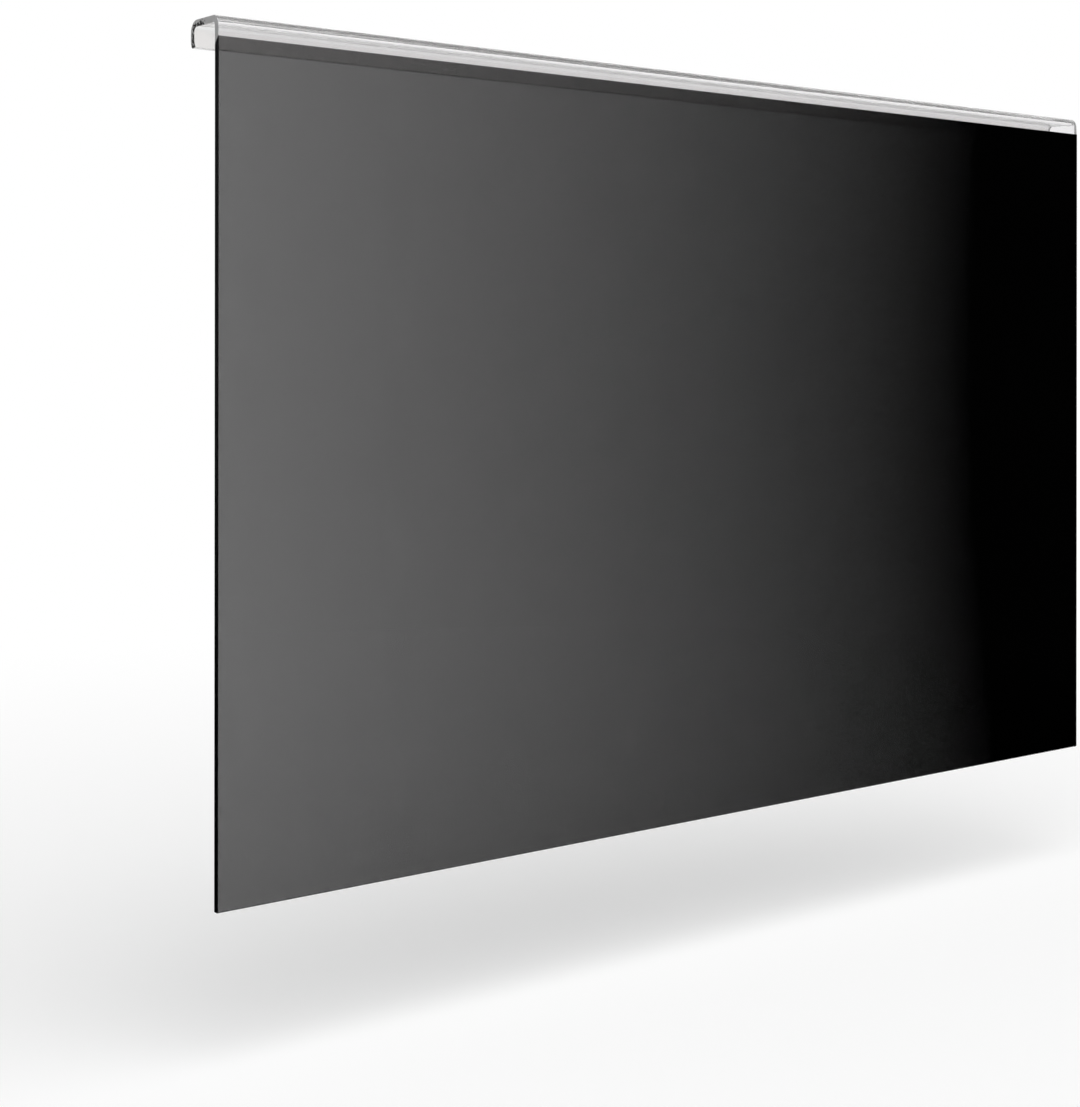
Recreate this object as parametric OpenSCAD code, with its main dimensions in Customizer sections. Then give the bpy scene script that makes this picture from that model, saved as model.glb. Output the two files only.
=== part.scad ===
/* [Sheet] */
// Width of the clear sheet, across its face
sheet_w = 540; // [300:5:800]
// Height of the filter, from the top of the hook to the bottom edge
sheet_h = 350; // [200:5:500]
// Thickness of the clear sheet
sheet_t = 3; // [2:0.1:5]
// Radius of the flame-polished edges
edge_r = 0.4; // [0.2:0.05:0.7]

/* [Hook] */
// Clear depth of the hook, from the back of the sheet to the inside of the lip
hook_gap = 16.5; // [14:0.5:40]
// Inside radius of the bend at the front of the hook
front_r = 1.5; // [0.5:0.1:3]
// Inside radius of the bend at the back of the hook
back_r = 2; // [0.5:0.1:6]
// Straight stretch of the lip, between its bend and its curl
lip_run = 2.6; // [0.5:0.1:20]
// Inside radius of the inward curl at the end of the lip
curl_r = 5; // [4.5:0.1:12]
// Height of the curl, down to its level-cut end
curl_h = 3.5; // [2:0.1:4.2]

/* [Film] */
// Thickness of the louvred privacy film
film_t = 0.3; // [0.2:0.05:1]
// Bare stretch of the sheet's face, between the bend and the film's top edge
bare_run = 4.1; // [1:0.1:30]

/* [Hidden] */
$fn = 96;

// The origin is the middle of the hook's flat underside, x runs across and y towards the back
seat_l = hook_gap - front_r - back_r;
sheet_front_y = -seat_l / 2 - front_r - sheet_t;
bottom_z = sheet_t - sheet_h;
wall_l = sheet_h - sheet_t - front_r;
film_w = sheet_w - 2 * edge_r;
film_h = wall_l - bare_run - edge_r;

// The curl is bent further than it needs, in degrees, and then cut off level
sweep_spare = 15;
curl_sweep = asin(curl_h / curl_r) + sweep_spare;
// How far a shape that trims an end reaches beyond it
past = 10 * edge_r;

// Rectangle from the origin with its four corners eased
module eased(size) {
    translate([edge_r, 0]) square([size.x - 2 * edge_r, size.y]);
    translate([0, edge_r]) square([size.x, size.y - 2 * edge_r]);
    for (x = [edge_r, size.x - edge_r], y = [edge_r, size.y - edge_r])
        translate([x, y]) circle(r = edge_r);
}

// Section across the sheet: its thickness along x, from the outside face, and its width along y
module section() translate([0, -sheet_w / 2]) eased([sheet_t, sheet_w]);

// Straight stretch along z, with the rest of the strip carrying on from its end
module run(length) {
    linear_extrude(height = length) section();
    translate([0, 0, length]) children();
}

// Bend towards the inside face, with the rest of the strip carrying on from its end
module bend(inside_r, angle) {
    centre = sheet_t + inside_r;
    translate([centre, 0, 0]) {
        rotate([90, 0, 180]) rotate_extrude(angle = angle) translate([inside_r, 0]) section();
        rotate([0, angle, 0]) translate([-centre, 0, 0]) children();
    }
}

// Prism across the whole width, from an outline drawn with x through the sheet and y along it
module across() rotate([90, 0, 0]) linear_extrude(height = 2 * sheet_w, center = true) children();

// Prism through the sheet, from an outline drawn with x across the width and y along it
module through(depth) translate([depth, 0, 0]) rotate([90, 0, -90])
    linear_extrude(height = 2 * depth, center = true) children();

// The sheet's free bottom end, eased on all sides, with the strip carrying on from it
module eased_foot(length) {
    intersection() {
        linear_extrude(height = length) section();
        across() eased([sheet_t, length + past]);
        through(sheet_t) translate([-sheet_w / 2, 0]) eased([sheet_w, length + past]);
    }
    translate([0, 0, length]) children();
}

// What takes one long corner off the lip's end, all but a round of the edge radius
module corner_off(centre, way) difference() {
    polygon([centre, centre + past * way, centre + past * (way + [0, 1]), centre + past * [0, 1]]);
    translate(centre) circle(r = edge_r);
}

// The lip's end: an inward curl, cut off level with its long corners eased
module curled_end() {
    outside_r = curl_r + sheet_t;
    level = curl_h - edge_r;
    outer = [-sqrt(pow(outside_r - edge_r, 2) - pow(level, 2)), level];
    inner = [-sqrt(pow(curl_r + edge_r, 2) - pow(level, 2)), level];
    intersection() {
        bend(curl_r, curl_sweep);
        translate([outside_r, 0, 0]) across() difference() {
            translate([-2 * outside_r, -past]) square([4 * outside_r, past + curl_h]);
            corner_off(outer, outer / norm(outer));
            corner_off(inner, -inner / norm(inner));
        }
        through(outside_r) translate([-sheet_w / 2, curl_h - 2 * outside_r]) eased([sheet_w, 2 * outside_r]);
    }
}

module hanger_sheet() color([0.86, 0.88, 0.88, 0.35])
    translate([0, sheet_front_y, bottom_z]) rotate([0, 0, 90])
        eased_foot(wall_l) bend(front_r, 90) run(seat_l) bend(back_r, 90) run(lip_run) curled_end();

module privacy_film() color([0.06, 0.06, 0.07])
    translate([-film_w / 2, sheet_front_y - film_t, bottom_z + edge_r]) cube([film_w, film_t, film_h]);

hanger_sheet();
privacy_film();
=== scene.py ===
from math import asin, cos, pi, radians, sin, tan

import bmesh
import bpy
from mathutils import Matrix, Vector


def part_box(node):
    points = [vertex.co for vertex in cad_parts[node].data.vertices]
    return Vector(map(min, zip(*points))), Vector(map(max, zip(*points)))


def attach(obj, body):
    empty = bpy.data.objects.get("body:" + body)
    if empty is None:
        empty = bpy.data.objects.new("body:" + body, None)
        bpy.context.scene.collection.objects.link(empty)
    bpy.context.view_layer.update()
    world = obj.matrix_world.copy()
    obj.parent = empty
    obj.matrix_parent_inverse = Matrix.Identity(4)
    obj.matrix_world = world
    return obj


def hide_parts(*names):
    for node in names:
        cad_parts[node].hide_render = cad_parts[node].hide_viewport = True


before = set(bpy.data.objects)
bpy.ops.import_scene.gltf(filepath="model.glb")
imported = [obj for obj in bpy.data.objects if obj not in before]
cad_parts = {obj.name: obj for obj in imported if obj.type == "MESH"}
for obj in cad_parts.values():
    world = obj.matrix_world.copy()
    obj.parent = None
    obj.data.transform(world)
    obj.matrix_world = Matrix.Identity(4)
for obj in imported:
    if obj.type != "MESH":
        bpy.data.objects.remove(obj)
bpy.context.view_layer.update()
sheetLow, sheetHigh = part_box("hanger_sheet")
filmLow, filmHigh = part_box("privacy_film")
scene = bpy.context.scene
print("frame loaded:", sorted(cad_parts))


def linearColour(hexCode):
    shares = [int(hexCode[i:i + 2], 16) / 255 for i in (1, 3, 5)]
    return [c / 12.92 if c <= 0.04045 else ((c + 0.055) / 1.055) ** 2.4 for c in shares] + [1]


# Adds one node, sets its properties and fills or links its sockets
def addNode(tree, kind, settings=None, sockets=None):
    node = tree.nodes.new(kind)
    for name, value in (settings or {}).items():
        setattr(node, name, value)
    for name, value in (sockets or {}).items():
        if isinstance(value, bpy.types.NodeSocket):
            tree.links.new(value, node.inputs[name])
        else:
            node.inputs[name].default_value = value
    return node


def newMaterial(name):
    material = bpy.data.materials.new(name)
    material.use_nodes = True
    material.node_tree.nodes.clear()
    return material, material.node_tree


def newPiece(name, mesh):
    piece = bpy.data.objects.new(name, mesh)
    scene.collection.objects.link(piece)
    return piece


# A geometry tree with named inputs, given as (name, socket type) pairs
def newGeometryTree(name, inputs):
    tree = bpy.data.node_groups.new(name, "GeometryNodeTree")
    tree.interface.new_socket("Geometry", in_out="INPUT", socket_type="NodeSocketGeometry")
    for label, kind in inputs:
        tree.interface.new_socket(label, in_out="INPUT", socket_type=kind)
    tree.interface.new_socket("Geometry", in_out="OUTPUT", socket_type="NodeSocketGeometry")
    return tree


def addGeometryTree(piece, tree, values):
    modifier = piece.modifiers.new(tree.name, "NODES")
    modifier.node_group = tree
    for item in tree.interface.items_tree:
        if item.in_out == "INPUT" and item.name in values:
            modifier[item.identifier] = values[item.name]


# Turns the modifiers' result into the piece's own plain mesh
def bakeModifiers(piece):
    graph = bpy.context.evaluated_depsgraph_get()
    mesh = bpy.data.meshes.new_from_object(
        piece.evaluated_get(graph), preserve_all_data_layers=True, depsgraph=graph)
    piece.modifiers.clear()
    piece.data = mesh
    mesh.name = piece.name
    for slot in reversed(range(len(mesh.materials))):
        if mesh.materials[slot] is None:
            mesh.materials.pop(index=slot)


# Weighted normals, so that rounded edges don't tilt the shading of the flats beside them
def evenShading(piece):
    even = piece.modifiers.new("even", "WEIGHTED_NORMAL")
    even.weight = 100


alongAxis = 0.9999             # how closely a normal follows an axis on a side that counts as square


# Flat sides that face along an axis are shaded flat, up to a square corner
def flattenSides(mesh):
    normals = [corner.vector.copy() for corner in mesh.corner_normals]
    for face in mesh.polygons:
        if max(abs(share) for share in face.normal) > alongAxis:
            for i in face.loop_indices:
                normals[i] = face.normal
    mesh.normals_split_custom_set(normals)


# The camera stands in front, left of the filter, and looks along the level
view = {
    "place": (-0.64627, -0.690775, -0.131574),
    "yaw": 38.2275,      # degrees, to the right of straight ahead
    "roll": 0.0513,
    "lens": 64.196,      # mm, on a long side of 36 mm
    "shift": -0.17494,   # keeps the upright edges upright, with the horizon above the middle
}
cameraData = bpy.data.cameras.new("camera")
cameraData.lens = view["lens"]
cameraData.shift_y = view["shift"]
cameraObject = bpy.data.objects.new("camera", cameraData)
cameraObject.location = view["place"]
cameraObject.rotation_euler = (radians(90), radians(-view["roll"]), radians(-view["yaw"]))
scene.collection.objects.link(cameraObject)
scene.camera = cameraObject
print("camera placed")


# The bent sheet: its outline seen from the end, drawn out across the width
sheet = {
    "thickness": 0.003,
    "frontBend": 0.0015,       # inside radii
    "backBend": 0.002,
    "curl": 0.005,
    "lipRun": 0.0026,          # straight stretch of the lip
    "curlHeight": 0.0035,
    "outerSpare": 1.1,         # edge radii that the curl's arcs leave for the lip's end
    "innerSpare": 2.6,
    "edgeRound": 0.0004,
    "rimRound": 0.00036,       # at the two ends
    "rimSteps": 4,
    "rimAngle": 40,            # degrees: sharper edges than this are rounded there
    "bendSteps": 24,
    "edgeSteps": 5,
    "heatedFrom": 0.0048,      # from the face back to where the hook turns hazy
    "topDepth": 0.0036,        # from the top down to where the lip begins
    "bondReach": 0.00001,      # how near to the face a bonded side lies
    "slack": 0.000003,         # for comparing lengths
}


# Cast acrylic (PMMA): hard gloss with a faint grey cast, hazy where it was heated, grey where it was sawn,
# with painted shade on the sawn ends
acrylic = {
    "ior": 1.49,
    "clear": "#F2F1F2",        # passed by one sheet's thickness
    "wave": 0.03,              # length of the cast sheet's faint waves
    "waveBump": 0.04,
    "reliefDepth": 0.0002,     # height that a bump of 1 stands for
    "top": "#FFFFFF",          # of what the heated hook passes and scatters
    "lip": "#F1EFEE",
    "topHaze": 0.12,           # share of light that the heated top of the hook scatters
    "topRoughness": 0.18,
    "lipHaze": 0.1,
    "lipRoughness": 0.15,
    "streakLength": 0.4,       # along the hook, drawn by the heating wire
    "streakHeight": 0.0011,    # across it
    "streakBump": 0.1,
    "streakFade": 0.004,       # height over which the streaks set in
    "endClear": 0.35,          # share of light that enters the sawn ends
    "endRoughness": 0.25,
    "endPale": "#D2D2D2",
    "endPaintedShade": "#303030",      # painted shade: patches where the bend turns the light away
    "endPaintedFilmShade": "#040404",     # painted shade: the film's black, seen through the end beside it
    "patch": 0.0012,           # size of the painted shade patches
    "patchEdge": (0.48, 0.55), # strength at which they begin and are at their darkest
    "patchAcross": (0.2, 0.9), # shares of the thickness, from the bend's inside, over which they thin out
    "patchLean": (0.11, -0.12),      # what is added to their strength there
    "patchAlong": (-0.006, 0.001),   # the stretch of the plate over which they set in
    "patchFront": -0.6,        # what is added to their strength before it
    "blackSlope": 1.2,         # the painted black's upper limit falls towards the back
    "blackFade": 0.0006,
    "grain": 0.0006,           # of the saw's marks, drawn coarse enough to show
    "grainBump": 0.3,
    "grainDepth": 0.0001,
}


# Faint waves of the cast sheet and, from the film's top edge up, the heating wire's lengthwise streaks
def acrylicRelief(tree):
    where = addNode(tree, "ShaderNodeTexCoord").outputs["Object"]
    waves = addNode(tree, "ShaderNodeTexNoise", None, {
        "Vector": where, "Scale": 1 / acrylic["wave"], "Detail": 1, "Roughness": 0.4})
    cast = addNode(tree, "ShaderNodeBump", None, {
        "Strength": acrylic["waveBump"], "Distance": acrylic["reliefDepth"], "Height": waves.outputs[0]})
    along, across = 1 / acrylic["streakLength"], 1 / acrylic["streakHeight"]
    stretched = addNode(tree, "ShaderNodeMapping", None, {"Vector": where, "Scale": (along, across, across)})
    streaks = addNode(tree, "ShaderNodeTexNoise", None, {
        "Vector": stretched.outputs[0], "Scale": 1, "Detail": 2, "Roughness": 0.6})
    height = addNode(tree, "ShaderNodeSeparateXYZ", None, {0: where}).outputs["Z"]
    heat = addNode(tree, "ShaderNodeMapRange", None, {
        "Value": height, "From Min": filmHigh.z - acrylic["streakFade"], "From Max": filmHigh.z,
        "To Min": 0, "To Max": acrylic["streakBump"]})
    return addNode(tree, "ShaderNodeBump", None, {
        "Strength": heat.outputs[0], "Distance": acrylic["reliefDepth"], "Height": streaks.outputs[0],
        "Normal": cast.outputs[0]}).outputs[0]


# The flat of the sheet and the front bend keep the cast sheet's hard, clear gloss
def clearAcrylic():
    material, tree = newMaterial("castAcrylicClear")
    shader = addNode(tree, "ShaderNodeBsdfPrincipled", None, {
        "Base Color": linearColour(acrylic["clear"]), "Roughness": 0, "IOR": acrylic["ior"],
        "Transmission Weight": 1, "Normal": acrylicRelief(tree)})
    addNode(tree, "ShaderNodeOutputMaterial", None, {"Surface": shader.outputs[0]})
    return material


# Behind that bend the hook was softened right through, which leaves its top hazy and its lip a little
def heatedAcrylic(name, colour, haze, roughness):
    material, tree = newMaterial(name)
    shader = addNode(tree, "ShaderNodeBsdfPrincipled", None, {
        "Base Color": linearColour(colour), "Roughness": roughness,
        "IOR": acrylic["ior"], "Transmission Weight": 1 - haze, "Normal": acrylicRelief(tree)})
    addNode(tree, "ShaderNodeOutputMaterial", None, {"Surface": shader.outputs[0]})
    return material


# The sawn ends are finely uneven and grey, with painted shade: dark patches at the hook, black where the film
# is behind them
def sawnAcrylicPaintedShade():
    material, tree = newMaterial("castAcrylicSawnPaintedShade")
    where = addNode(tree, "ShaderNodeTexCoord").outputs["Object"]
    spot = addNode(tree, "ShaderNodeSeparateXYZ", None, {0: where}).outputs
    patches = addNode(tree, "ShaderNodeTexNoise", None, {
        "Vector": where, "Scale": 1 / acrylic["patch"], "Detail": 2, "Roughness": 0.7})
    # The painted shade patches keep to the inside of the rear bend, of the plate before it and of the lip
    # below it
    radius, thick = sheet["backBend"], sheet["thickness"]
    section = addNode(tree, "ShaderNodeVectorMath", {"operation": "MULTIPLY"}, {0: where, 1: (0, 1, 1)})
    fromCentre = addNode(tree, "ShaderNodeVectorMath", {"operation": "SUBTRACT"}, {
        0: section.outputs[0], 1: (0, sheetHigh.y - thick - radius, -radius)})
    outward = addNode(tree, "ShaderNodeVectorMath", {"operation": "MAXIMUM"}, {
        0: fromCentre.outputs[0], 1: (0, 0, 0)})
    depth = addNode(tree, "ShaderNodeVectorMath", {"operation": "LENGTH"}, {0: outward.outputs[0]})
    near, far = acrylic["patchAcross"]
    most, least = acrylic["patchLean"]
    inside = addNode(tree, "ShaderNodeMapRange", None, {
        "Value": depth.outputs["Value"], "From Min": radius + near * thick, "From Max": radius + far * thick,
        "To Min": most, "To Max": least})
    begin, full = acrylic["patchAlong"]
    rearward = addNode(tree, "ShaderNodeMapRange", None, {
        "Value": spot["Y"], "From Min": begin, "From Max": full,
        "To Min": acrylic["patchFront"], "To Max": 0})
    leaning = addNode(tree, "ShaderNodeMath", {"operation": "ADD"}, {
        0: inside.outputs[0], 1: rearward.outputs[0]})
    strength = addNode(tree, "ShaderNodeMath", {"operation": "ADD"}, {
        0: patches.outputs[0], 1: leaning.outputs[0]})
    weak, strong = acrylic["patchEdge"]
    dark = addNode(tree, "ShaderNodeMapRange", {"interpolation_type": "SMOOTHSTEP"}, {
        "Value": strength.outputs[0], "From Min": weak, "From Max": strong, "To Min": 0, "To Max": 1})
    # Painted shade: dark patches over the sawn ends' grey
    mottled = addNode(tree, "ShaderNodeMix", {"data_type": "RGBA"}, {
        0: dark.outputs[0], 6: linearColour(acrylic["endPale"]), 7: linearColour(acrylic["endPaintedShade"])})
    # Painted shade beside the film, in the film's black; light from the hook still reaches a little way down
    # the rear of the end
    slope = addNode(tree, "ShaderNodeMath", {"operation": "MULTIPLY_ADD"}, {
        0: spot["Y"], 1: acrylic["blackSlope"], 2: spot["Z"]})
    filmTop = filmHigh.z + acrylic["blackSlope"] * sheetLow.y
    besideFilm = addNode(tree, "ShaderNodeMapRange", None, {
        "Value": slope.outputs[0], "From Min": filmTop, "From Max": filmTop + acrylic["blackFade"],
        "To Min": 1, "To Max": 0})
    onWall = addNode(tree, "ShaderNodeMath", {"operation": "LESS_THAN"}, {0: spot["Y"], 1: 0})
    black = addNode(tree, "ShaderNodeMath", {"operation": "MULTIPLY"}, {
        0: besideFilm.outputs[0], 1: onWall.outputs[0]})
    colour = addNode(tree, "ShaderNodeMix", {"data_type": "RGBA"}, {
        0: black.outputs[0], 6: mottled.outputs[2], 7: linearColour(acrylic["endPaintedFilmShade"])})
    grain = addNode(tree, "ShaderNodeTexNoise", None, {
        "Vector": where, "Scale": 1 / acrylic["grain"], "Detail": 2, "Roughness": 0.6})
    bump = addNode(tree, "ShaderNodeBump", None, {
        "Strength": acrylic["grainBump"], "Distance": acrylic["grainDepth"], "Height": grain.outputs[0]})
    shader = addNode(tree, "ShaderNodeBsdfPrincipled", None, {
        "Base Color": colour.outputs[2], "Roughness": acrylic["endRoughness"],
        "IOR": acrylic["ior"], "Transmission Weight": acrylic["endClear"], "Normal": bump.outputs[0]})
    addNode(tree, "ShaderNodeOutputMaterial", None, {"Surface": shader.outputs[0]})
    return material


# Where adhesive joins film and sheet the two have one index, so the joint doesn't show
def bondedFace():
    material, tree = newMaterial("adhesiveBond")
    shader = addNode(tree, "ShaderNodeBsdfTransparent")
    addNode(tree, "ShaderNodeOutputMaterial", None, {"Surface": shader.outputs[0]})
    return material


# Louvre film: clear polyester tinted smoke-grey, with a hard coat that cuts its glare, over black louvres
film = {
    "ior": 1.49,
    "smoke": "#727272",
    "roughness": 0.02,
    "glare": 0.25,             # 0.5 would be an uncoated film's
    "ripples": 60,             # a metre, of the adhesive below
    "rippleBump": 0.01,
    "rippleDepth": 0.0002,
    "black": "#040404",
    "pitch": 0.0001,           # from louvre to louvre
    "louvre": 0.00001,         # thickness of one
    "depth": 0.0001485,        # of one, front to back: with the gap it sets how far round it blacks out
    "margin": 0.0001,          # clear border above and below the louvres
    "edgeRound": 0.00004,
}


def smokeFilm():
    material, tree = newMaterial("louvreFilmCover")
    where = addNode(tree, "ShaderNodeTexCoord").outputs["Object"]
    ripple = addNode(tree, "ShaderNodeTexNoise", None, {
        "Vector": where, "Scale": film["ripples"], "Detail": 2, "Roughness": 0.5})
    bump = addNode(tree, "ShaderNodeBump", None, {
        "Strength": film["rippleBump"], "Distance": film["rippleDepth"], "Height": ripple.outputs[0]})
    shader = addNode(tree, "ShaderNodeBsdfPrincipled", None, {
        "Base Color": linearColour(film["smoke"]), "Roughness": film["roughness"],
        "IOR": film["ior"], "Specular IOR Level": film["glare"],
        "Transmission Weight": 1, "Normal": bump.outputs[0]})
    addNode(tree, "ShaderNodeOutputMaterial", None, {"Surface": shader.outputs[0]})
    return material


# Louvres are carbon-black silicone, sunk in clear resin, so they have no gloss of their own
def blackLouvre():
    material, tree = newMaterial("carbonBlackSilicone")
    shader = addNode(tree, "ShaderNodeBsdfPrincipled", None, {
        "Base Color": linearColour(film["black"]), "Roughness": 1, "Specular IOR Level": 0})
    addNode(tree, "ShaderNodeOutputMaterial", None, {"Surface": shader.outputs[0]})
    return material


clear = clearAcrylic()
hazyTop = heatedAcrylic(
    "castAcrylicHeatedTop", acrylic["top"], acrylic["topHaze"], acrylic["topRoughness"])
hazyLip = heatedAcrylic(
    "castAcrylicHeatedLip", acrylic["lip"], acrylic["lipHaze"], acrylic["lipRoughness"])
sawn = sawnAcrylicPaintedShade()
bonded = bondedFace()
smoke = smokeFilm()
carbon = blackLouvre()
print("materials made")


# Corners of the outline as (y, z, radius, steps), up the back, round the hook and down the face
def sheetCorners():
    thick, small = sheet["thickness"], sheet["edgeRound"]
    bend, few = sheet["bendSteps"], sheet["edgeSteps"]
    front, back, top, foot = sheetLow.y, sheetHigh.y, sheetHigh.z, sheetLow.z
    curlTop = top - thick - sheet["backBend"] - sheet["lipRun"]
    end = curlTop - sheet["curlHeight"]

    # An arc round the curl's centre stops short of the end, to leave room for the end's own corner
    def curlArc(radius, spare):
        turn = asin(sheet["curlHeight"] / radius) - spare / radius
        centreY = back - thick - sheet["curl"]
        stopY, stopZ = centreY + radius * cos(turn), curlTop - radius * sin(turn)
        bendZ = curlTop - radius * tan(turn / 2)
        endY = stopY - (stopZ - end) * tan(turn)
        return (centreY + radius, bendZ, radius, bend), (endY, end, small, few)

    outerBend, outerEnd = curlArc(sheet["curl"] + thick, sheet["outerSpare"] * small)
    innerBend, innerEnd = curlArc(sheet["curl"], sheet["innerSpare"] * small)
    return [
        (front + thick, foot, small, few),
        (front + thick, filmHigh.z, 0, 1),
        (front + thick, top - thick, sheet["frontBend"], bend),
        (back - thick, top - thick, sheet["backBend"], bend),
        innerBend, innerEnd, outerEnd, outerBend,
        (back, top, sheet["backBend"] + thick, bend),
        (front, top, sheet["frontBend"] + thick, bend),
        (front, filmHigh.z, 0, 1),
        (front, foot, small, few),
    ]


def sheetTree():
    tree = newGeometryTree("bentSheet", [
        ("Width", "NodeSocketFloat"), ("Rim", "NodeSocketFloat"), ("Bond Top", "NodeSocketFloat"),
        ("Bond Foot", "NodeSocketFloat"), ("Bond Face", "NodeSocketFloat"), ("Hook Side", "NodeSocketFloat"),
        ("Hook Foot", "NodeSocketFloat"),
        ("Clear", "NodeSocketMaterial"), ("Sawn", "NodeSocketMaterial"),
        ("Heated Top", "NodeSocketMaterial"), ("Heated Lip", "NodeSocketMaterial"),
        ("Bonded", "NodeSocketMaterial")])
    given = addNode(tree, "NodeGroupInput").outputs
    loop = addNode(tree, "GeometryNodeMeshToCurve", None, {"Mesh": given["Geometry"]})
    radius = addNode(tree, "GeometryNodeInputNamedAttribute", {"data_type": "FLOAT"}, {"Name": "bend"})
    steps = addNode(tree, "GeometryNodeInputNamedAttribute", {"data_type": "INT"}, {"Name": "steps"})
    rounded = addNode(tree, "GeometryNodeFilletCurve", {"mode": "POLY"}, {
        "Curve": loop.outputs[0], "Radius": radius.outputs[0], "Count": steps.outputs[0]})
    half = addNode(tree, "ShaderNodeMath", {"operation": "MULTIPLY"}, {0: given["Width"], 1: 0.5})
    other = addNode(tree, "ShaderNodeMath", {"operation": "MULTIPLY"}, {0: given["Width"], 1: -0.5})
    right = addNode(tree, "ShaderNodeCombineXYZ", None, {"X": half.outputs[0]})
    left = addNode(tree, "ShaderNodeCombineXYZ", None, {"X": other.outputs[0]})
    across = addNode(tree, "GeometryNodeCurvePrimitiveLine", None, {
        "Start": left.outputs[0], "End": right.outputs[0]})
    upright = addNode(tree, "GeometryNodeSetCurveTilt", None, {"Curve": across.outputs[0], "Tilt": pi})
    drawn = addNode(tree, "GeometryNodeCurveToMesh", None, {
        "Curve": upright.outputs[0], "Profile Curve": rounded.outputs[0], "Fill Caps": True})
    smooth = addNode(tree, "GeometryNodeSetShadeSmooth", None, {"Geometry": drawn.outputs[0]})
    real = addNode(tree, "GeometryNodeRealizeInstances", None, {"Geometry": smooth.outputs[0]})
    everywhere = addNode(tree, "GeometryNodeSetMaterial", None, {
        "Geometry": real.outputs[0], "Material": given["Clear"]})
    # The two end caps
    position = addNode(tree, "GeometryNodeInputPosition").outputs[0]
    spot = addNode(tree, "ShaderNodeSeparateXYZ", None, {0: position})
    reach = addNode(tree, "ShaderNodeMath", {"operation": "ABSOLUTE"}, {0: spot.outputs["X"]})
    inner = addNode(tree, "ShaderNodeMath", {"operation": "SUBTRACT"}, {0: half.outputs[0], 1: given["Rim"]})
    atEnd = addNode(tree, "FunctionNodeCompare", {"data_type": "FLOAT", "operation": "GREATER_THAN"}, {
        0: reach.outputs[0], 1: inner.outputs[0]})
    ends = addNode(tree, "GeometryNodeSetMaterial", None, {
        "Geometry": everywhere.outputs[0], "Selection": atEnd.outputs[0], "Material": given["Sawn"]})
    # The hook behind its front bend: first all of it, then its top
    behind = addNode(tree, "FunctionNodeCompare", {"data_type": "FLOAT", "operation": "GREATER_THAN"}, {
        0: spot.outputs["Y"], 1: given["Hook Side"]})
    high = addNode(tree, "FunctionNodeCompare", {"data_type": "FLOAT", "operation": "GREATER_THAN"}, {
        0: spot.outputs["Z"], 1: given["Hook Foot"]})
    bent = addNode(tree, "FunctionNodeBooleanMath", {"operation": "NIMPLY"}, {
        0: behind.outputs[0], 1: atEnd.outputs[0]})
    lip = addNode(tree, "GeometryNodeSetMaterial", None, {
        "Geometry": ends.outputs[0], "Selection": bent.outputs[0], "Material": given["Heated Lip"]})
    onTop = addNode(tree, "FunctionNodeBooleanMath", {"operation": "AND"}, {
        0: bent.outputs[0], 1: high.outputs[0]})
    hook = addNode(tree, "GeometryNodeSetMaterial", None, {
        "Geometry": lip.outputs[0], "Selection": onTop.outputs[0], "Material": given["Heated Top"]})
    # The stretch of the face that the film covers
    onFace = addNode(tree, "FunctionNodeCompare", {"data_type": "FLOAT", "operation": "LESS_THAN"}, {
        0: spot.outputs["Y"], 1: given["Bond Face"]})
    below = addNode(tree, "FunctionNodeCompare", {"data_type": "FLOAT", "operation": "LESS_THAN"}, {
        0: spot.outputs["Z"], 1: given["Bond Top"]})
    above = addNode(tree, "FunctionNodeCompare", {"data_type": "FLOAT", "operation": "GREATER_THAN"}, {
        0: spot.outputs["Z"], 1: given["Bond Foot"]})
    between = addNode(tree, "FunctionNodeBooleanMath", {"operation": "AND"}, {
        0: below.outputs[0], 1: above.outputs[0]})
    covered = addNode(tree, "FunctionNodeBooleanMath", {"operation": "AND"}, {
        0: between.outputs[0], 1: onFace.outputs[0]})
    bond = addNode(tree, "GeometryNodeSetMaterial", None, {
        "Geometry": hook.outputs[0], "Selection": covered.outputs[0], "Material": given["Bonded"]})
    addNode(tree, "NodeGroupOutput", None, {"Geometry": bond.outputs[0]})
    return tree


cornerShare = 1.2              # a vertex about as near to both sides of a corner moves onto the corner itself


# Sheet and film are trimmed together, so beside the film the sheet's front corners stay square
def squareBesideFilm(mesh):
    near = sheet["edgeRound"] + sheet["slack"]
    lowest, highest = filmLow.z - sheet["slack"], filmHigh.z + sheet["slack"]
    for vertex in mesh.vertices:
        side = sheetHigh.x if vertex.co.x > 0 else sheetLow.x
        inward, back = abs(side - vertex.co.x), vertex.co.y - sheetLow.y
        if max(inward, back) < near and lowest < vertex.co.z < highest:
            if inward < cornerShare * back:
                vertex.co.x = side
            if back < cornerShare * inward:
                vertex.co.y = sheetLow.y
    mesh.update()
    sawnSlot, bondSlot = mesh.materials.find("castAcrylicSawnPaintedShade"), mesh.materials.find("adhesiveBond")
    for face in mesh.polygons:
        if lowest < face.center.z < highest and face.center.y < sheetLow.y + near:
            if abs(face.normal.x) > alongAxis:
                face.material_index = sawnSlot
            elif face.normal.y < -alongAxis:
                face.material_index = bondSlot


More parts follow.
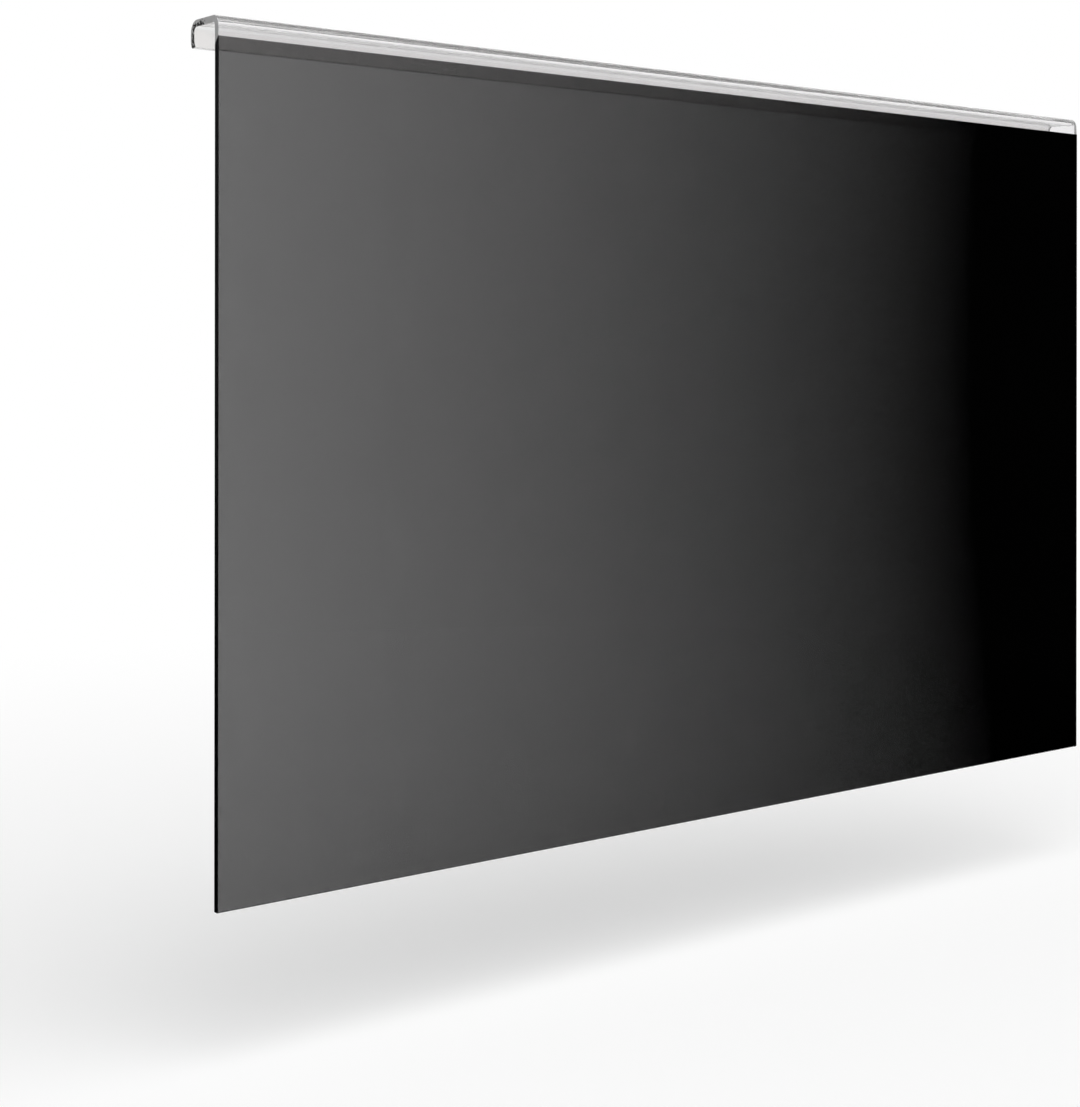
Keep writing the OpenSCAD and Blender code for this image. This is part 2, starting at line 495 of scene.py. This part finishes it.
def makeSheet():
    corners = sheetCorners()
    count = len(corners)
    mesh = bpy.data.meshes.new("hangerSheet")
    mesh.from_pydata([(y, z, 0) for y, z, radius, steps in corners],
                     [(i, (i + 1) % count) for i in range(count)], [])
    mesh.attributes.new("bend", "FLOAT", "POINT").data.foreach_set("value", [c[2] for c in corners])
    mesh.attributes.new("steps", "INT", "POINT").data.foreach_set("value", [c[3] for c in corners])
    piece = newPiece("hangerSheet", mesh)
    addGeometryTree(piece, sheetTree(), {
        "Width": sheetHigh.x - sheetLow.x, "Rim": sheet["rimRound"],
        "Bond Top": filmHigh.z, "Bond Foot": filmLow.z,
        "Bond Face": sheetLow.y + sheet["bondReach"],
        "Hook Side": sheetLow.y + sheet["heatedFrom"], "Hook Foot": sheetHigh.z - sheet["topDepth"],
        "Clear": clear, "Sawn": sawn, "Heated Top": hazyTop, "Heated Lip": hazyLip, "Bonded": bonded})
    rims = piece.modifiers.new("rims", "BEVEL")
    rims.width = sheet["rimRound"]
    rims.segments = sheet["rimSteps"]
    rims.limit_method = "ANGLE"
    rims.angle_limit = radians(sheet["rimAngle"])
    rims.use_clamp_overlap = False
    rims.material = 1          # the sawn ends' slot
    evenShading(piece)
    bakeModifiers(piece)
    squareBesideFilm(piece.data)
    flattenSides(piece.data)
    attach(piece, "root")
    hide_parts("hanger_sheet")
    return piece


hangerSheet = makeSheet()
print("sheet:", len(hangerSheet.data.polygons), "faces")


# The film is trimmed flush with the sheet at both sides
filmLow.x, filmHigh.x = sheetLow.x, sheetHigh.x


def makeFilm():
    mesh = bpy.data.meshes.new("privacyFilm")
    shape = bmesh.new()
    bmesh.ops.create_cube(shape, size=1)
    for corner in shape.verts:
        for axis in range(3):
            corner.co[axis] = filmHigh[axis] if corner.co[axis] > 0 else filmLow[axis]
    for face in shape.faces:
        face.smooth = True
        face.material_index = 1 if face.normal.y > 0.5 else 0
    front = [e for e in shape.edges if all(v.co.y == filmLow.y for v in e.verts)]
    bmesh.ops.bevel(shape, geom=front, offset=film["edgeRound"], segments=3, profile=0.5, affect="EDGES")
    shape.to_mesh(mesh)
    shape.free()
    mesh.materials.append(smoke)
    mesh.materials.append(bonded)
    mesh.materials.append(carbon)
    # Its cut sides show black with louvres
    for face in mesh.polygons:
        if abs(face.center.x) > filmHigh.x - film["edgeRound"]:
            face.material_index = 2
    piece = newPiece("privacyFilm", mesh)
    evenShading(piece)
    bakeModifiers(piece)
    flattenSides(piece.data)
    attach(piece, "root")
    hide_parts("privacy_film")
    return piece


privacyFilm = makeFilm()
print("film:", len(privacyFilm.data.polygons), "faces")


# A row of upright slats, centred on the piece's own origin
def louvreTree():
    tree = newGeometryTree("louvres", [
        ("Count", "NodeSocketInt"), ("Pitch", "NodeSocketFloat"), ("Slat", "NodeSocketVector"),
        ("Start", "NodeSocketVector"), ("Material", "NodeSocketMaterial")])
    given = addNode(tree, "NodeGroupInput").outputs
    step = addNode(tree, "ShaderNodeCombineXYZ", None, {"X": given["Pitch"]})
    places = addNode(tree, "GeometryNodeMeshLine", {"mode": "OFFSET"}, {
        "Count": given["Count"], "Start Location": given["Start"], "Offset": step.outputs[0]})
    slat = addNode(tree, "GeometryNodeMeshCube", None, {"Size": given["Slat"]})
    row = addNode(tree, "GeometryNodeInstanceOnPoints", None, {
        "Points": places.outputs[0], "Instance": slat.outputs["Mesh"]})
    real = addNode(tree, "GeometryNodeRealizeInstances", None, {"Geometry": row.outputs[0]})
    painted = addNode(tree, "GeometryNodeSetMaterial", None, {
        "Geometry": real.outputs[0], "Material": given["Material"]})
    addNode(tree, "NodeGroupOutput", None, {"Geometry": painted.outputs[0]})
    return tree


def makeLouvres():
    size = filmHigh - filmLow
    middle = (filmHigh + filmLow) / 2
    between = size.x - 2 * film["edgeRound"] - film["louvre"]
    count = round(between / film["pitch"]) + 1
    piece = newPiece("filmLouvres", bpy.data.meshes.new("filmLouvres"))
    addGeometryTree(piece, louvreTree(), {
        "Count": count, "Pitch": between / (count - 1),
        "Slat": (film["louvre"], film["depth"], size.z - 2 * film["margin"]),
        "Start": (-between / 2, middle.y, middle.z), "Material": carbon})
    bakeModifiers(piece)
    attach(piece, "root")
    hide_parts("privacy_film")
    print("louvres:", count)


makeLouvres()


# Pale studio: a floor below the hanging filter, soft light from the film's side and one lamp
studio = {
    "floorDrop": 0.063,        # from the filter's foot down to the floor
    "floorSize": 8,
    "floor": "#E0E0E0",
    "floorGlow": 0.38,         # brings the near floor up towards white where it is seen
    "fade": (0.4, 1.2),        # distances between which the floor turns into the backdrop
    "skyFront": 1.25,          # soft light from the film's side
    "skyRear": 0.25,
    "skyTurn": (-0.3, 0.1),    # directions front to back between which it falls off
    "darkSide": 0.006,         # what a gloss sees to the front and far left
    "brightBack": (-0.1, 0.4), # directions between which a gloss begins to see the backdrop: to the back
    "brightLeft": (-0.4, -0.1),      # from the left
    "brightAbove": (0.25, 0.6),      # upwards
    "keyPlace": (-0.25, -0.7, 1.6),
    "keyAim": (0, 0, -0.15),
    "keySize": 0.9,
    "keyPower": 5,
}


# How bright a gloss sees a direction: white behind the filter, but not far left of it
def rearShare(tree, towards):
    front, back = studio["brightBack"]
    behind = addNode(tree, "ShaderNodeMapRange", {"interpolation_type": "SMOOTHSTEP"}, {
        "Value": towards["Y"], "From Min": front, "From Max": back,
        "To Min": studio["darkSide"], "To Max": 1})
    left, right = studio["brightLeft"]
    beside = addNode(tree, "ShaderNodeMapRange", {"interpolation_type": "SMOOTHSTEP"}, {
        "Value": towards["X"], "From Min": left, "From Max": right,
        "To Min": studio["darkSide"], "To Max": 1})
    return addNode(tree, "ShaderNodeMath", {"operation": "MULTIPLY"}, {
        0: behind.outputs[0], 1: beside.outputs[0]}).outputs[0]


def makeFloor():
    half = studio["floorSize"] / 2
    level = sheetLow.z - studio["floorDrop"]
    mesh = bpy.data.meshes.new("floor")
    corners = ((-half, -half), (half, -half), (half, half), (-half, half))
    mesh.from_pydata([(x, y, level) for x, y in corners], [], [(0, 1, 2, 3)])
    floor = newPiece("floor", mesh)
    # Uncoated paper: matt, with no gloss of its own, so it shows only a soft shadow
    material, tree = newMaterial("matPaper")
    path = addNode(tree, "ShaderNodeLightPath").outputs
    # A gloss finds no light on the near floor, nor on the floor in front of the film
    mirrored = addNode(tree, "ShaderNodeMath", {"operation": "SUBTRACT", "use_clamp": True}, {
        0: path["Is Glossy Ray"], 1: path["Is Transmission Ray"]})
    # Further out it turns into the white backdrop, wherever it is seen or a gloss finds it behind the filter
    seen = addNode(tree, "ShaderNodeMath", {"operation": "MAXIMUM"}, {
        0: path["Is Camera Ray"], 1: path["Is Transmission Ray"]})
    where = addNode(tree, "ShaderNodeTexCoord").outputs["Object"]
    heading = addNode(tree, "ShaderNodeVectorMath", {"operation": "NORMALIZE"}, {0: where})
    towards = addNode(tree, "ShaderNodeSeparateXYZ", None, {0: heading.outputs[0]}).outputs
    inBack = addNode(tree, "ShaderNodeMath", {"operation": "MULTIPLY"}, {
        0: mirrored.outputs[0], 1: rearShare(tree, towards)})
    lit = addNode(tree, "ShaderNodeMath", {"operation": "MAXIMUM"}, {
        0: seen.outputs[0], 1: inBack.outputs[0]})
    away = addNode(tree, "ShaderNodeVectorMath", {"operation": "LENGTH"}, {0: where})
    near, far = studio["fade"]
    fade = addNode(tree, "ShaderNodeMapRange", {"interpolation_type": "SMOOTHSTEP"}, {
        "Value": away.outputs["Value"], "From Min": near, "From Max": far, "To Min": 0, "To Max": 1})
    backdrop = addNode(tree, "ShaderNodeMath", {"operation": "MULTIPLY"}, {
        0: lit.outputs[0], 1: fade.outputs[0]})
    gone = addNode(tree, "ShaderNodeMath", {"operation": "MAXIMUM"}, {
        0: backdrop.outputs[0], 1: mirrored.outputs[0]})
    paper = addNode(tree, "ShaderNodeMix", {"data_type": "RGBA"}, {
        0: gone.outputs[0], 6: linearColour(studio["floor"]), 7: (0, 0, 0, 1)})
    faint = addNode(tree, "ShaderNodeMath", {"operation": "MULTIPLY"}, {
        0: seen.outputs[0], 1: studio["floorGlow"]})
    glow = addNode(tree, "ShaderNodeMix", {"data_type": "FLOAT"}, {
        0: backdrop.outputs[0], 2: faint.outputs[0], 3: 1})
    shader = addNode(tree, "ShaderNodeBsdfPrincipled", None, {
        "Base Color": paper.outputs[2], "Roughness": 1, "Specular IOR Level": 0,
        "Emission Color": (1, 1, 1, 1), "Emission Strength": glow.outputs[0]})
    addNode(tree, "ShaderNodeOutputMaterial", None, {"Surface": shader.outputs[0]})
    mesh.materials.append(material)


# White wherever it is seen, straight or through the filter; a gloss sees it behind and above
def makeWorld():
    world = bpy.data.worlds.new("paleStudio")
    world.use_nodes = True
    tree = world.node_tree
    tree.nodes.clear()
    path = addNode(tree, "ShaderNodeLightPath").outputs
    seen = addNode(tree, "ShaderNodeMath", {"operation": "MAXIMUM"}, {
        0: path["Is Camera Ray"], 1: path["Is Transmission Ray"]})
    towards = addNode(tree, "ShaderNodeSeparateXYZ", None, {
        0: addNode(tree, "ShaderNodeTexCoord").outputs["Generated"]}).outputs
    low, high = studio["brightAbove"]
    overhead = addNode(tree, "ShaderNodeMapRange", {"interpolation_type": "SMOOTHSTEP"}, {
        "Value": towards["Z"], "From Min": low, "From Max": high, "To Min": 0, "To Max": 1})
    mirrored = addNode(tree, "ShaderNodeMath", {"operation": "MAXIMUM"}, {
        0: rearShare(tree, towards), 1: overhead.outputs[0]})
    # The soft light comes from the film's side, so that the shadow lies behind the filter
    front, back = studio["skyTurn"]
    sky = addNode(tree, "ShaderNodeMapRange", {"interpolation_type": "SMOOTHSTEP"}, {
        "Value": towards["Y"], "From Min": front, "From Max": back,
        "To Min": studio["skyFront"], "To Max": studio["skyRear"]})
    ambient = addNode(tree, "ShaderNodeMix", {"data_type": "FLOAT"}, {
        0: path["Is Glossy Ray"], 2: sky.outputs[0], 3: mirrored.outputs[0]})
    strength = addNode(tree, "ShaderNodeMix", {"data_type": "FLOAT"}, {
        0: seen.outputs[0], 2: ambient.outputs[0], 3: 1})
    background = addNode(tree, "ShaderNodeBackground", None, {
        "Color": (1, 1, 1, 1), "Strength": strength.outputs[0]})
    addNode(tree, "ShaderNodeOutputWorld", None, {"Surface": background.outputs[0]})
    scene.world = world


def makeLamp():
    data = bpy.data.lights.new("keyLamp", "AREA")
    data.size = studio["keySize"]
    data.energy = studio["keyPower"]
    lamp = bpy.data.objects.new("keyLamp", data)
    lamp.location = studio["keyPlace"]
    aim = (Vector(studio["keyAim"]) - Vector(studio["keyPlace"])).to_track_quat("-Z", "Y")
    lamp.rotation_euler = aim.to_euler()
    scene.collection.objects.link(lamp)


makeFloor()
makeWorld()
makeLamp()
scene.view_settings.view_transform = "Standard"
print("studio made")
